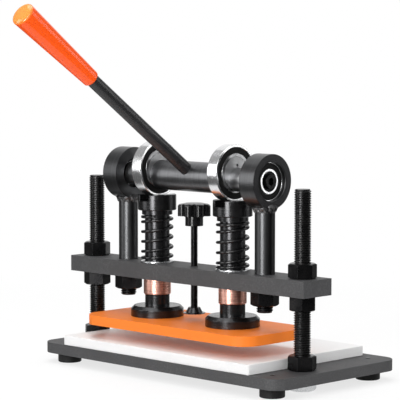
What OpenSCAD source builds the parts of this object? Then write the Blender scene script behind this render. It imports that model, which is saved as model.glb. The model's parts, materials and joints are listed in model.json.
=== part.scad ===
// Hand-lever die cutting machine, in millimetres.
// X runs along the crossbeam, Y across it and Z up. The origin lies on the table, midway between
// the columns, in the plane that holds the columns, the rams and the shaft.
// The lever leans back over the narrow side of the base and is pulled over towards +Y.

/* [Base] */
// Distance between the axes of the two columns
col_span = 323; // [318:0.5:332]
// Length of the base plate past each column axis
base_end = 26; // [20:0.5:36]
// Depth of the base plate
base_d = 197; // [186:1:240]
// Thickness of the base plate
base_t = 12; // [8:0.5:18]
// Corner radius of the base plate
base_r = 20; // [6:1:28]
// Distance from the column plane to the middle of the base plate
base_shift = 32.5; // [24:0.5:40]
// Diameter of a rubber foot
foot_d = 27; // [20:1:30]
// Height of a rubber foot
foot_h = 11; // [10:0.5:18]
// Distance from the end of the base plate to a foot's axis
foot_in_x = 27.5; // [20:0.5:34]
// Distance from the long side of the base plate to a foot's axis
foot_in_y = 21.5; // [18:0.5:26]
// Diameter of a foot's screw
foot_screw_d = 5; // [4:0.5:6]
// Head diameter of a foot's screw
foot_head_d = 9; // [8:0.5:11]
// Head height of a foot's screw
foot_head_h = 3; // [2:0.5:4]
// Depth of the recess under a foot that holds the screw head
foot_recess = 5; // [4.5:0.5:6]
// Length of the screw tip above the base plate
foot_tip = 0.5; // [0.2:0.1:1.5]
// Chamfer round the ends of a foot
foot_edge = 0.8; // [0.2:0.1:1.5]

/* [Cutting board] */
// Depth of the cutting board
board_d = 184; // [150:1:184]
// Thickness of the cutting board
board_t = 11; // [6:0.5:20]
// Distance from the narrow side's edge of the base to the board
board_in = 1; // [0.5:0.5:6]
// Gap between the board and the column nuts at each end
board_gap = 0.9; // [0.5:0.1:4]
// Corner radius of the cutting board
board_r = 1; // [0.5:0.5:4]

/* [Columns and nuts] */
// Thread diameter of a column
col_d = 18; // [16:0.5:19]
// Length of column left above the upper nut
col_spare = 78; // [40:1:120]
// Width of a nut across its flats
nut_af = 27; // [26:0.5:28]
// Height of a nut
nut_h = 16; // [12:0.5:18]
// Inset of a nut's round end face from its flats
nut_face = 0.5; // [0.3:0.1:1]
// Slope of the chamfer on a nut's corners, in degrees
nut_slope = 30; // [20:1:35]
// Height of the lock nut under the base
lock_nut_h = 9; // [6:0.5:9.5]
// Chamfer at the end of a column or stud
thread_end = 1.5; // [0.5:0.25:2.5]
// Turn of the left and right nuts on the base, in degrees
base_turn = [25, -6];
// Turn of the left and right nuts under the beam, in degrees
lower_turn = [-18, 11];
// Turn of the left and right nuts on the beam, in degrees
upper_turn = [-2, -7];
// Turn of the left and right post nuts, in degrees
post_turn = [-11, -12];

/* [Crossbeam] */
// Length of the beam past each column axis
beam_end = 21.5; // [19:0.5:30]
// Depth of the beam
beam_d = 44; // [40:1:56]
// Thickness of the beam
beam_t = 18; // [12:0.5:26]
// Height of the beam's underside above the pressing plate
beam_rise = 43; // [42:0.5:60]
// Radial gap round a column in the beam
col_gap = 0.5; // [0.35:0.05:1]

/* [Posts] */
// Distance between the axes of the two posts
post_span = 214.8; // [208:0.2:222]
// Diameter of a post
post_d = 22; // [20:0.5:24]
// Thread diameter of the stud under a post
stud_d = 18; // [14:0.5:19]
// Length of stud below its nut
stud_tip = 7.5; // [4:0.5:12]
// Outside diameter of the eye on a post
eye_od = 59; // [54:0.5:66]
// Width of the eye
eye_w = 21.5; // [18:0.5:24]
// Thickness of the lip that holds the bearing in the eye
eye_lip = 5; // [2.5:0.5:6]
// Hole through that lip
lip_d = 34; // [30:0.5:37]
// Chamfer at the mouth of the bearing's pocket
mouth_edge = 1; // [0.25:0.25:2]
// Height of the shaft's axis above the beam
axis_rise = 99.5; // [96:0.5:110]
// Reach of the weld bead under the eye, out from the post
weld_out = 3; // [1:0.25:4]
// Length of the weld bead down the post below the eye
weld_drop = 4; // [2:0.5:8]

/* [End bearings] */
// Bore of an end bearing
end_bore = 20; // [18:0.5:21]
// Outside diameter of an end bearing
end_od = 42; // [40:0.5:44]
// Width of an end bearing
end_w = 12; // [10:0.5:12.5]
// Ball diameter of an end bearing
end_ball = 6.35; // [5:0.05:6.5]
// Width of an end bearing's rim round its seal
end_land = 1.2; // [0.8:0.1:2.5]
// Balls in an end bearing
end_balls = 9; // [7:1:10]

/* [Cam bearings] */
// Bore of a cam bearing
cam_bore = 35; // [35:0.5:38]
// Outside diameter of a cam bearing
cam_od = 62; // [60:0.5:66]
// Width of a cam bearing
cam_w = 14; // [12:0.5:17]
// Ball diameter of a cam bearing
cam_ball = 8.7; // [7:0.1:9]
// Width of a cam bearing's rim round its seal
cam_land = 2.8; // [1:0.1:3.5]
// Balls in a cam bearing
cam_balls = 11; // [8:1:12]

/* [Bearing seals] */
// Thickness of a seal
seal_t = 1.2; // [0.8:0.1:1.6]
// Depth of a seal below the bearing's face
seal_in = 0.5; // [0.3:0.1:1]
// Gap between a seal and the inner ring
seal_gap = 0.3; // [0.2:0.05:0.5]

/* [Eccentric shaft] */
// Distance from the shaft's axis to the axis of a boss
ecc = 7.2; // [6:0.1:7.2]
// Lean of the bosses back from straight up, in degrees
boss_lean = 16; // [0:1:25]
// Diameter of the centre drum
drum_d = 33.5; // [28:0.5:36]
// Outside diameter of a spacer sleeve
spacer_d = 26.5; // [23:0.5:27]
// Thread diameter of an end screw
end_screw_d = 10; // [8:0.5:10]
// Thread length of an end screw
end_screw_l = 22; // [14:1:30]
// Head diameter of an end screw
end_head_d = 16; // [13:0.5:16]
// Head height of an end screw
end_head_h = 9; // [6.5:0.5:10]
// Depth of the recess that an end screw's head is sunk in
end_sink = 6; // [4:0.5:8]
// Socket of an end screw across its flats
end_socket = 8; // [5:0.5:8]
// Diameter of the setting hole in a boss
mark_d = 3.5; // [2:0.25:4]
// Distance from the shaft's axis to the setting hole
mark_r = 15.5; // [15:0.25:17]
// Depth of the setting hole
mark_depth = 4; // [2:0.5:6]
// Gap round a screw head in its recess
head_gap = 0.5; // [0.35:0.05:0.75]

/* [Lever] */
// Rise of the lever above the horizontal at rest, in degrees
lever_rise = 35.8; // [25:0.2:60]
// Distance from the shaft's axis to the end of the grip
lever_len = 303; // [250:1:400]
// Diameter of the lever bar
bar_d = 14.5; // [12:0.5:16]
// Distance from the shaft's axis to the root of the bar
bar_root = 4; // [0:0.5:8]
// Length of the grip
grip_l = 116; // [90:1:150]
// Diameter of the grip at its inner end
grip_in_d = 18.6; // [18:0.2:22]
// Diameter of the grip at its outer end
grip_out_d = 26; // [22:0.5:32]
// Thickness of the grip past the end of the bar
grip_end = 8; // [4:0.5:14]
// Edge radius at the grip's inner end
grip_in_r = 1.6; // [0.5:0.1:1.7]
// Edge radius at the grip's outer end
grip_out_r = 3; // [1:0.25:5]

/* [Rams] */
// Distance between the axes of the two rams
ram_span = 118.8; // [112:0.2:124]
// Diameter of a ram
ram_d = 28; // [24:0.5:28.5]
// Outside diameter of a guide bush
bush_od = 31; // [31:0.5:36]
// Length of the bush below the beam
bush_drop = 18.5; // [10:0.5:19]
// Edge radius at the bottom of the bush
bush_edge = 1; // [0.25:0.25:1.25]
// Diameter of the foot flange
flange_d = 60; // [56:1:70]
// Height of the foot flange
flange_h = 12; // [9:0.5:12]
// Chamfer on top of the flange
flange_edge = 3.5; // [0.5:0.25:4]
// Circle diameter of the plate's screws in a flange
screw_pcd = 44; // [42:1:46]
// Plate screws in a flange
screw_count = 4; // [3:1:6]
// Thread diameter of a plate screw
screw_d = 6; // [5:0.5:6]
// Head diameter of a plate screw
screw_head_d = 12; // [10:0.5:13]
// Thread length of a plate screw in the flange
screw_bite = 7; // [5:0.5:8]

/* [Ram caps] */
// Diameter of a cap
cap_d = 43.5; // [40:0.5:48]
// Height of a cap
cap_h = 18; // [18:0.5:24]
// Diameter of the neck under a cap
neck_d = 34.6; // [33:0.2:37]
// Height of the neck
neck_h = 5; // [3:0.5:7]
// Chamfer round the edges of a cap
cap_edge = 0.8; // [0.2:0.1:1.5]
// Depth of the slot across the top of a cap
slot_depth = 7.3; // [4:0.1:8]
// Gap between a cam bearing and each wall of the slot
slot_side = 0.6; // [0.4:0.1:2]
// Drop of the cam bearing before it reaches the floor of the slot
cam_idle = 5.5; // [3:0.25:6]
// Length of ram seated inside its cap
cap_seat = 4; // [3:0.5:5]
// Thread diameter of a cap screw
cap_screw_d = 8; // [6:0.5:8]
// Thread length of a cap screw in the ram
cap_screw_bite = 16; // [10:1:24]
// Head diameter of a cap screw
cap_head_d = 13; // [10:0.5:13.5]
// Head height of a cap screw
cap_head_h = 6; // [4:0.5:7]
// Socket of a cap screw across its flats
cap_socket = 6; // [4:0.5:6]

/* [Return springs] */
// Outside diameter of a spring
spring_od = 37; // [36.8:0.1:37.4]
// Wire diameter of a spring
wire_d = 3.5; // [2.5:0.1:3.6]
// Closed turns at each end of a spring
end_turns = 1; // [1:0.25:1.25]
// Gap between the closed turns
closed_gap = 0.7; // [0.5:0.1:1.2]
// Open turns of a spring
open_turns = 3.6; // [3:0.1:4.2]
// Direction in which the lower end of the left and right springs starts, in degrees
spring_turn = [90, 210];
// Gap between a spring and what it bears on
spring_seat = 0.2; // [0.1:0.05:0.3]
// Diameter of the washer under a spring
washer_d = 37.5; // [37:0.5:42]
// Thickness of that washer
washer_t = 1.5; // [1:0.25:2.5]
// Radial gap between that washer and the ram
washer_gap = 0.5; // [0.35:0.05:1]

/* [Pressing plate] */
// Length of the pressing plate
plate_l = 258; // [220:1:270]
// Depth of the pressing plate
plate_d = 108; // [90:1:140]
// Thickness of the pressing plate
plate_t = 11; // [8:0.5:16]
// Corner radius of the pressing plate
plate_r = 22; // [5:1:30]
// Gap between the board and the plate with the lever at rest
daylight = 14.5; // [12:0.5:40]

/* [Stop screw and knob] */
// Thread diameter of the stop screw
stop_d = 8; // [6:0.5:9]
// Height of the knob's hub above the beam
knob_rise = 45; // [30:0.5:46]
// Diameter of the hub
hub_d = 20; // [16:0.5:22]
// Height of the hub
hub_h = 11; // [6:0.5:12]
// Diameter over the knob's lobes
knob_d = 37; // [32:0.5:44]
// Lobes of the knob
lobes = 7; // [5:1:7]
// Turn of the knob at rest, in degrees
knob_turn = 6.5; // [0:0.5:60]
// Diameter of a lobe
lobe_d = 10.4; // [8:0.2:11]
// Height of the lobes
lobe_h = 13; // [9:0.5:13.5]
// Rise of the knob's crown over its edge
crown = 1.5; // [0.5:0.25:2]
// Edge chamfer on top of the lobes
knob_edge = 2; // [0.5:0.25:3]
// Length of screw seated in the knob
knob_seat = 16; // [8:0.5:18]
// Diameter of the swivel pad
pad_d = 25; // [22:0.5:28]
// Height of the swivel pad
pad_h = 7; // [5.5:0.5:8]
// Thickness of the pad's rim
pad_rim = 1; // [1:0.25:3]
// Width of the flat rim round the pad's cone
pad_step = 3; // [1:0.25:4]
// Thickness of the pad below the screw
pad_floor = 2; // [1.5:0.25:2.5]
// Wall of the pad round the screw
pad_wall = 2.5; // [1.5:0.25:4]
// Gap between the pad and the pressing plate at rest
pad_gap = 8; // [7.75:0.25:14]

/* [Fits] */
// Radial clearance of a running or sliding fit
run_fit = 0.06; // [0.03:0.01:0.1]
// Radial clearance of a seat between fixed pieces
seat_fit = 0.03; // [0.02:0.01:0.05]

/* [Hidden] */
$fn = 64;
LEFT = -1;
RIGHT = 1;
SIDES = [LEFT, RIGHT];

// Base
base_l = col_span + 2 * base_end;
base_top = foot_h + base_t;
base_back = base_shift - base_d / 2;
foot_x = base_l / 2 - foot_in_x;
foot_y = base_d / 2 - foot_in_y;
nut_ac = nut_af / cos(30);
board_left = -col_span / 2 + nut_reach(base_turn[0]) + board_gap;
board_right = col_span / 2 - nut_reach(base_turn[1]) - board_gap;
board_l = board_right - board_left;
board_x = (board_left + board_right) / 2;
board_y = base_back + board_in + board_d / 2;
board_top = base_top + board_t;

// Pressing plate, beam and columns, from the table up
col_x = col_span / 2;
col_foot = foot_h - lock_nut_h;
plate_z = board_top + daylight;
plate_top = plate_z + plate_t;
beam_z = plate_top + beam_rise;
beam_top = beam_z + beam_t;
beam_l = col_span + 2 * beam_end;
col_top = beam_top + nut_h + col_spare;

// Shaft, from the middle outwards
axis_z = beam_top + axis_rise;
post_x = post_span / 2;
ram_x = ram_span / 2;
boss_y = -ecc * sin(boss_lean);
boss_z = axis_z + ecc * cos(boss_lean);
boss_in = ram_x - cam_w / 2;
boss_out = ram_x + cam_w / 2;
eye_in = post_x - eye_w / 2;
end_in = eye_in + eye_lip;
end_x = end_in + end_w / 2;
shaft_end = end_in + end_w;
grip_in = lever_len - grip_l;
bar_tip = lever_len - grip_end;

// Rams and caps
slot_floor = boss_z - cam_od / 2 - cam_idle;
cap_top = slot_floor + slot_depth;
cap_step = cap_top - cap_h;
cap_z = cap_step - neck_h;
ram_top = cap_z + cap_seat;
cap_recess = cap_head_h + head_gap;
bush_z = beam_z - bush_drop;

// Plate screws: depth of a countersunk head with 45 degree sides
countersink = (screw_head_d - screw_d) / 2;

// Stop screw and knob
hub_z = beam_top + knob_rise;
lobe_z = hub_z + hub_h;
pad_z = plate_top + pad_gap;
stop_z = pad_z + pad_floor;
stop_top = hub_z + knob_seat;

// Springs
spring_foot = beam_top + washer_t + spring_seat;
spring_head = cap_z - spring_seat;
closed_pitch = wire_d + closed_gap;
closed_h = closed_pitch * end_turns;
open_h = spring_head - spring_foot - wire_d - 2 * closed_h;
coil_turns = open_turns + 2 * end_turns;
CURL_RINGS = 8;
TUBE_SIDES = 6;
coil_rings = round(coil_turns * CURL_RINGS);
// The rings stand a little outside the coil's circle, so that the straight runs between them
// lie inside it by as much
coil_r = (spring_od - wire_d) / (1 + cos(180 / CURL_RINGS));

// How far a nut turned by that angle reaches along X from its axis
function nut_reach(turn) = nut_ac / 2 * max([for (i = [0:5]) cos(turn + 60 * i)]);
// Height of the coil's centre line, t turns along it
function coil_rise(t) =
    spring_foot + wire_d / 2
    + closed_pitch * min(t, end_turns)
    + open_h * max(0, min(1, (t - end_turns) / open_turns))
    + closed_pitch * max(0, t - end_turns - open_turns);
// Point and direction of the coil's centre line, t turns along it
function coil_point(t) = [coil_r * cos(360 * t), coil_r * sin(360 * t), coil_rise(t)];
function coil_way(t) = [-sin(360 * t), cos(360 * t), 0];
// The centre line: a straight end, the turns, a straight end, each with its turn
COIL = concat(
    [[coil_point(0) - wire_d * coil_way(0), 0]],
    [for (i = [0:coil_rings]) let (t = coil_turns * i / coil_rings) [coil_point(t), t]],
    [[coil_point(coil_turns) + wire_d * coil_way(coil_turns), coil_turns]]
);
// One ring of the wire's surface, in the upright plane through the coil's axis
function coil_ring(c) = [
    for (k = [0:TUBE_SIDES - 1])
        let (a = 360 * k / TUBE_SIDES, r = wire_d / 2)
            c[0] + r * cos(a) * [cos(360 * c[1]), sin(360 * c[1]), 0] + [0, 0, r * sin(a)]
];
function flat(rows) = [for (row = rows) for (p = row) p];
// Least gap between two stretches of wire more than half a turn apart
coil_gap = min([
    for (i = [0:len(COIL) - 1])
        for (j = [i + 1:1:len(COIL) - 1])
            if (COIL[j][1] - COIL[i][1] > 0.5) norm(COIL[j][0] - COIL[i][0]) - wire_d
]);
echo(least_spring_gap = coil_gap);

// A flat plate with rounded corners, its underside at z = 0
module rounded_plate(l, d, t, r) {
    linear_extrude(t) {
        square([l - 2 * r, d], center = true);
        square([l, d - 2 * r], center = true);
        for (x = SIDES)
            for (y = SIDES)
                translate([x * (l / 2 - r), y * (d / 2 - r)])
                    circle(r);
    }
}

// Draws its children as they are for the right side, and mirrored for the left
module on_side(s) {
    mirror([s == LEFT ? 1 : 0, 0, 0])
        children();
}

// Places its children on a line along X through the shaft's axis, from x outwards
module on_axis(x) {
    translate([x, 0, axis_z])
        rotate([0, 90, 0])
            children();
}

// The same through the axis of the eccentric bosses
module on_boss(x) {
    translate([x, boss_y, boss_z])
        rotate([0, 90, 0])
            children();
}

// Places its children with their Z along the lever, away from the shaft
module on_lever() {
    translate([0, 0, axis_z])
        rotate([90 - lever_rise, 0, 0])
            children();
}

// A round bar along Z with chamfered ends
module chamfered_bar(d, l, edge) {
    rotate_extrude()
        polygon([
            [0, 0], [d / 2 - edge, 0], [d / 2, edge],
            [d / 2, l - edge], [d / 2 - edge, l], [0, l]
        ]);
}

// A hexagon nut standing on z = 0, with both ends' corners chamfered
module hex_nut(h, bore, turn) {
    face_r = nut_af / 2 - nut_face;
    outer_r = nut_ac / 2 + nut_face;
    drop = (outer_r - face_r) * tan(nut_slope);
    difference() {
        intersection() {
            rotate([0, 0, turn])
                cylinder(h = h, d = nut_ac, $fn = 6);
            rotate_extrude()
                polygon([
                    [0, 0], [face_r, 0], [outer_r, drop],
                    [outer_r, h - drop], [face_r, h], [0, h]
                ]);
        }
        translate([0, 0, -1])
            cylinder(h = h + 2, d = bore);
    }
}

// A pair of nuts on the columns, standing on z
module column_nuts(z, h, clearance, turns) {
    for (s = SIDES)
        translate([s * col_x, 0, z])
            hex_nut(h, col_d + 2 * clearance, turns[s == LEFT ? 0 : 1]);
}

// A socket head screw along Z: the head stands on z = 0 and the thread runs down
module socket_screw(d, l, head_d, head_h, socket) {
    difference() {
        union() {
            cylinder(h = head_h, d = head_d);
            translate([0, 0, -l])
                cylinder(h = l + 1, d = d);
        }
        translate([0, 0, head_h / 3])
            cylinder(h = head_h, d = socket / cos(30), $fn = 6);
    }
}

// Base plate, with holes for the columns and the feet's screws
module base_plate() {
    color("#3a3b3d")
        difference() {
            translate([0, base_shift, foot_h])
                rounded_plate(base_l, base_d, base_t, base_r);
            for (s = SIDES)
                translate([s * col_x, 0, foot_h - 1])
                    cylinder(h = base_t + 2, r = col_d / 2 + seat_fit);
            at_feet()
                translate([0, 0, foot_h - 1])
                    cylinder(h = base_t + 2, r = foot_screw_d / 2 + seat_fit);
        }
}

// Places its children at the four feet
module at_feet() {
    for (x = SIDES)
        for (y = SIDES)
            translate([x * foot_x, base_shift + y * foot_y, 0])
                children();
}

module rubber_feet() {
    color("#1b1b1c")
        at_feet()
            difference() {
                chamfered_bar(foot_d, foot_h, foot_edge);
                translate([0, 0, -1])
                    cylinder(h = foot_recess + 1, d = foot_head_d + 2 * head_gap);
                translate([0, 0, -1])
                    cylinder(h = foot_h + 2, r = foot_screw_d / 2 + seat_fit);
            }
}

module foot_screws() {
    color("#2a2a2b")
        at_feet() {
            translate([0, 0, foot_recess - foot_head_h])
                cylinder(h = foot_head_h, d = foot_head_d);
            translate([0, 0, foot_recess - 1])
                cylinder(h = base_top + foot_tip - foot_recess + 1, d = foot_screw_d);
        }
}

// Cutting board, between the column nuts
module cutting_board() {
    color("#f4f4f2")
        translate([board_x, board_y, base_top])
            rounded_plate(board_l, board_d, board_t, board_r);
}

// Column on one side, from its lock nut up
module column(s) {
    color("#1c1c1d")
        translate([s * col_x, 0, col_foot])
            chamfered_bar(col_d, col_top - col_foot, thread_end);
}

module column_base_nuts() {
    color("#202021")
        column_nuts(base_top, nut_h, seat_fit, base_turn);
}

module column_lock_nuts() {
    color("#c9cacb")
        column_nuts(col_foot, lock_nut_h, seat_fit, base_turn);
}

module beam_lower_nuts() {
    color("#202021")
        column_nuts(beam_z - nut_h, nut_h, run_fit, lower_turn);
}

module beam_upper_nuts() {
    color("#202021")
        column_nuts(beam_top, nut_h, run_fit, upper_turn);
}

// Crossbeam, with holes for all that passes through it
module crossbeam() {
    color("#3d3e40")
        difference() {
            translate([-beam_l / 2, -beam_d / 2, beam_z])
                cube([beam_l, beam_d, beam_t]);
            for (s = SIDES) {
                beam_hole(s * col_x, col_d / 2 + col_gap);
                beam_hole(s * post_x, stud_d / 2 + seat_fit);
                beam_hole(s * ram_x, bush_od / 2 + seat_fit);
            }
            beam_hole(0, stop_d / 2 + run_fit);
        }
}

module beam_hole(x, r) {
    translate([x, 0, beam_z - 1])
        cylinder(h = beam_t + 2, r = r);
}

// Guide bush on one side, flush with the top of the beam
module guide_bush(s) {
    inner = ram_d / 2 + run_fit;
    outer = bush_od / 2;
    h = beam_top - bush_z;
    color("#c98a6b")
        translate([s * ram_x, 0, bush_z])
            rotate_extrude()
                polygon([
                    [inner, 0], [outer - bush_edge, 0], [outer, bush_edge],
                    [outer, h], [inner, h]
                ]);
}

// Post on one side: a rod on a stud, with a welded eye for the end bearing
module bearing_post(s) {
    rod_top = axis_z - (eye_od + end_od) / 4;
    weld_z = axis_z - eye_od / 2 - weld_drop;
    weld_rise = 2 * weld_out;
    stud_l = beam_t + nut_h + stud_tip;
    color("#262728")
        on_side(s)
            difference() {
                union() {
                    translate([post_x, 0, beam_top])
                        cylinder(h = rod_top - beam_top, d = post_d);
                    translate([post_x, 0, beam_top - stud_l])
                        chamfered_bar(stud_d, stud_l + thread_end + 1, thread_end);
                    on_axis(eye_in)
                        cylinder(h = eye_w, d = eye_od);
                    translate([post_x, 0, weld_z])
                        rotate_extrude()
                            polygon([
                                [0, 0], [post_d / 2, 0], [post_d / 2 + weld_out, weld_rise],
                                [post_d / 2, weld_rise + weld_out], [0, weld_rise + weld_out]
                            ]);
                }
                on_axis(end_in)
                    cylinder(h = eye_w, r = end_od / 2 + seat_fit);
                on_axis(eye_in + eye_w - mouth_edge)
                    cylinder(h = 2 * mouth_edge, d1 = end_od, d2 = end_od + 4 * mouth_edge);
                on_axis(eye_in - 1)
                    cylinder(h = eye_w, d = lip_d);
            }
}

module post_nuts() {
    color("#202021")
        for (s = SIDES)
            translate([s * post_x, 0, beam_z - nut_h])
                hex_nut(nut_h, stud_d + 2 * seat_fit, post_turn[s == LEFT ? 0 : 1]);
}

// The pieces of a ball bearing lie along Z, about z = 0.
// Radius of the circle that the balls run on
function pitch_r(bore, od) = (bore + od) / 4;
// How far a ring's shoulder stands off that circle
function shoulder(ball) = 0.3 * ball;

// Outer ring, with its groove and a step at each face that holds a seal
module outer_ring(bore, od, w, ball, land) {
    p = pitch_r(bore, od);
    step = seal_in + seal_t + seat_fit;
    rotate_extrude()
        difference() {
            translate([p + shoulder(ball), -w / 2])
                square([od / 2 - p - shoulder(ball), w]);
            translate([p, 0])
                circle(ball / 2 + run_fit);
            for (s = SIDES)
                translate([0, s * w / 2 - step])
                    square([od / 2 - land, 2 * step]);
        }
}

// Inner ring, with its groove
module inner_ring(bore, od, w, ball) {
    p = pitch_r(bore, od);
    inner = bore / 2 + seat_fit;
    rotate_extrude()
        difference() {
            translate([inner, -w / 2])
                square([p - shoulder(ball) - inner, w]);
            translate([p, 0])
                circle(ball / 2 + run_fit);
        }
}

// Balls, spaced evenly round the circle that they run on
module balls(bore, od, ball, count) {
    for (i = [0:count - 1])
        rotate([0, 0, 360 * i / count])
            translate([pitch_r(bore, od), 0, 0])
                sphere(d = ball);
}

// The two seals, held by the outer ring
module seals(bore, od, w, ball, land) {
    p = pitch_r(bore, od);
    inner = p - shoulder(ball) + seal_gap;
    outer = od / 2 - land - seat_fit;
    for (s = SIDES)
        translate([0, 0, s * (w / 2 - seal_in - seal_t / 2)])
            difference() {
                cylinder(h = seal_t, r = outer, center = true);
                cylinder(h = seal_t + 2, r = inner, center = true);
            }
}

module end_outer_ring(s) {
    color("#d9dadb")
        on_axis(s * end_x)
            outer_ring(end_bore, end_od, end_w, end_ball, end_land);
}

module end_inner_ring(s) {
    color("#e2e3e4")
        on_axis(s * end_x)
            inner_ring(end_bore, end_od, end_w, end_ball);
}

module end_balls(s) {
    color("#e8e9ea")
        on_axis(s * end_x)
            balls(end_bore, end_od, end_ball, end_balls);
}

module end_seals(s) {
    color("#161617")
        on_axis(s * end_x)
            seals(end_bore, end_od, end_w, end_ball, end_land);
}

module cam_outer_ring(s) {
    color("#d9dadb")
        on_boss(s * ram_x)
            outer_ring(cam_bore, cam_od, cam_w, cam_ball, cam_land);
}

module cam_inner_ring(s) {
    color("#e2e3e4")
        on_boss(s * ram_x)
            inner_ring(cam_bore, cam_od, cam_w, cam_ball);
}

module cam_balls(s) {
    color("#e8e9ea")
        on_boss(s * ram_x)
            balls(cam_bore, cam_od, cam_ball, cam_balls);
}

module cam_seals(s) {
    color("#161617")
        on_boss(s * ram_x)
            seals(cam_bore, cam_od, cam_w, cam_ball, cam_land);
}

// Shaft: centre drum, eccentric bosses and end journals, with the holes for lever and screws
module eccentric_shaft() {
    color("#2b2c2d")
        difference() {
            union() {
                on_axis(-boss_in)
                    cylinder(h = 2 * boss_in, d = drum_d);
                for (s = SIDES)
                    on_boss(s * ram_x)
                        cylinder(h = cam_w, d = cam_bore, center = true);
                on_axis(-shaft_end)
                    cylinder(h = 2 * shaft_end, d = end_bore);
            }
            on_lever()
                translate([0, 0, bar_root])
                    cylinder(h = drum_d, r = bar_d / 2 + seat_fit);
            for (s = SIDES)
                on_side(s)
                    shaft_end_holes();
        }
}

// Recess and tapped hole in the right end of the shaft, and the setting hole in its boss
module shaft_end_holes() {
    on_axis(shaft_end - end_sink)
        cylinder(h = end_sink + 1, d = end_head_d + 2 * head_gap);
    on_axis(shaft_end - end_sink - end_screw_l)
        cylinder(h = end_screw_l + 1, r = end_screw_d / 2 + seat_fit);
    on_axis(boss_out - mark_depth)
        translate([-mark_r, 0, 0])
            cylinder(h = mark_depth + 1, d = mark_d);
}

// Sleeves between the inner rings of a cam bearing and an end bearing
module shaft_spacers() {
    color("#8b8d90")
        for (s = SIDES)
            on_axis(s * (boss_out + end_in) / 2)
                difference() {
                    cylinder(h = end_in - boss_out, d = spacer_d, center = true);
                    cylinder(h = end_in, r = end_bore / 2 + seat_fit, center = true);
                }
}

module shaft_end_screws() {
    color("#2a2a2b")
        for (s = SIDES)
            on_side(s)
                on_axis(shaft_end - end_sink)
                    socket_screw(end_screw_d, end_screw_l, end_head_d, end_head_h, end_socket);
}

module lever_bar() {
    color("#1d1d1e")
        on_lever()
            translate([0, 0, bar_root])
                cylinder(h = bar_tip - bar_root, d = bar_d);
}

// Tapered grip, with a blind bore for the bar
module lever_grip() {
    taper = (grip_out_d - grip_in_d) / 2 / grip_l;
    bore = bar_d / 2 + seat_fit;
    color("#f1571f")
        on_lever()
            translate([0, 0, grip_in])
                rotate_extrude()
                    difference() {
                        union() {
                            polygon([
                                [0, 0], [grip_in_d / 2 - grip_in_r, 0],
                                [grip_in_d / 2 + taper * grip_in_r, grip_in_r],
                                [grip_out_d / 2 - taper * grip_out_r, grip_l - grip_out_r],
                                [grip_out_d / 2 - grip_out_r, grip_l], [0, grip_l]
                            ]);
                            intersection() {
                                translate([grip_in_d / 2 - grip_in_r, grip_in_r])
                                    circle(grip_in_r);
                                square([grip_out_d, grip_l]);
                            }
                            intersection() {
                                translate([grip_out_d / 2 - grip_out_r, grip_l - grip_out_r])
                                    circle(grip_out_r);
                                square([grip_out_d, grip_l]);
                            }
                        }
                        translate([-1, -1])
                            square([bore + 1, grip_l - grip_end + 1]);
                    }
}

// Places its children at a ram's plate screws
module at_plate_screws(s) {
    for (i = [0:screw_count - 1])
        translate([s * ram_x, 0, 0])
            rotate([0, 0, 360 * (i + 0.5) / screw_count])
                translate([screw_pcd / 2, 0, 0])
                    children();
}

// Ram on one side, with its foot flange
module ram(s) {
    flange_top = plate_top + flange_h;
    color("#1a1a1b")
        difference() {
            translate([s * ram_x, 0, 0])
                rotate_extrude()
                    polygon([
                        [0, plate_top], [flange_d / 2, plate_top],
                        [flange_d / 2, flange_top - flange_edge],
                        [flange_d / 2 - flange_edge, flange_top],
                        [ram_d / 2, flange_top], [ram_d / 2, ram_top], [0, ram_top]
                    ]);
            at_plate_screws(s)
                translate([0, 0, plate_top - 1])
                    cylinder(h = screw_bite + 1, r = screw_d / 2 + seat_fit);
            translate([s * ram_x, 0, ram_top - cap_screw_bite])
                cylinder(h = cap_screw_bite + 1, r = cap_screw_d / 2 + seat_fit);
        }
}

// Cap on one side: a slot for the cam bearing, and a neck that the spring bears on
module ram_cap(s) {
    color("#232324")
        difference() {
            translate([s * ram_x, 0, 0])
                rotate_extrude()
                    polygon([
                        [0, cap_z], [neck_d / 2, cap_z], [neck_d / 2, cap_step],
                        [cap_d / 2 - cap_edge, cap_step], [cap_d / 2, cap_step + cap_edge],
                        [cap_d / 2, cap_top - cap_edge], [cap_d / 2 - cap_edge, cap_top],
                        [0, cap_top]
                    ]);
            translate([s * ram_x - cam_w / 2 - slot_side, -cap_d, slot_floor])
                cube([cam_w + 2 * slot_side, 2 * cap_d, slot_depth + 1]);
            translate([s * ram_x, 0, cap_z - 1])
                cylinder(h = cap_seat + 1, r = ram_d / 2 + seat_fit);
            translate([s * ram_x, 0, slot_floor - cap_recess])
                cylinder(h = cap_recess + 1, d = cap_head_d + 2 * head_gap);
            translate([s * ram_x, 0, cap_z])
                cylinder(h = slot_floor - cap_z, r = cap_screw_d / 2 + seat_fit);
        }
}

module cap_screws() {
    thread = slot_floor - cap_recess - ram_top + cap_screw_bite;
    color("#2a2a2b")
        for (s = SIDES)
            translate([s * ram_x, 0, slot_floor - cap_recess])
                socket_screw(cap_screw_d, thread, cap_head_d, cap_head_h, cap_socket);
}

// Return spring on one side: one unbroken wire with closed ends
module return_spring(s) {
    rings = [for (c = COIL) coil_ring(c)];
    last = len(rings) - 1;
    n = TUBE_SIDES;
    sides = [
        for (i = [0:last - 1])
            for (k = [0:n - 1])
                let (a = i * n + k, b = i * n + (k + 1) % n)
                    each [[a, a + n, b], [b, a + n, b + n]]
    ];
    ends = [
        for (k = [1:n - 2])
            each [[0, k, k + 1], [last * n, last * n + k + 1, last * n + k]]
    ];
    color("#17171a")
        translate([s * ram_x, 0, 0])
            rotate([0, 0, spring_turn[s == LEFT ? 0 : 1]])
                polyhedron(points = flat(rings), faces = concat(sides, ends));
}

module spring_washers() {
    color("#c4c5c6")
        for (s = SIDES)
            translate([s * ram_x, 0, beam_top])
                difference() {
                    cylinder(h = washer_t, d = washer_d);
                    translate([0, 0, -1])
                        cylinder(h = washer_t + 2, r = ram_d / 2 + washer_gap);
                }
}

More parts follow.
